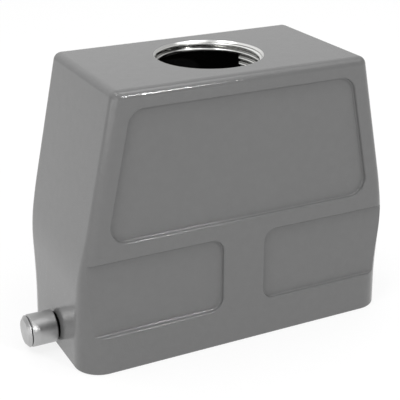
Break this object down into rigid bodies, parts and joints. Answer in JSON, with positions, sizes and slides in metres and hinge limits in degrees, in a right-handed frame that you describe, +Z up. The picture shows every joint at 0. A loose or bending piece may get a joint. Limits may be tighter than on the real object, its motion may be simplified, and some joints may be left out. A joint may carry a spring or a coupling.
{
  "type": "heavy duty rectangular connector hood",
  "caption": "Die-cast rectangular connector hood with slanted ends, sunk side panels, a threaded cable entry on top and a locking peg with a turning sleeve at each end.",
  "frame": {"origin": "middle of the open rim's plane, under the middle of the hood", "axes": "+X along the hood's long side to the right peg, +Z up through the cable entry, -Y out of the front panels"},
  "size_m": [0.111, 0.043, 0.076],
  "materials": {
    "powder_coated_casting": "grey powder coat with a fine texture on die-cast aluminium, semi-gloss",
    "pin_steel": "turned stainless steel",
    "roller_steel": "fine-turned stainless steel"
  },
  "bodies": {
    "hood": {"hood_shell": "powder_coated_casting", "left_peg_pin": "pin_steel", "right_peg_pin": "pin_steel"},
    "left_roller": {"left_peg_roller": "roller_steel"},
    "right_roller": {"right_peg_roller": "roller_steel"}
  },
  "joints": [
    {"name": "left_roller_spin", "type": "hinge", "parent": "hood", "child": "left_roller", "pos_m": [-0.05075, 0, 0.0058], "axis": [1, 0, 0], "continuous": true},
    {"name": "right_roller_spin", "type": "hinge", "parent": "hood", "child": "right_roller", "pos_m": [0.05075, 0, 0.0058], "axis": [1, 0, 0], "continuous": true}
  ]
}
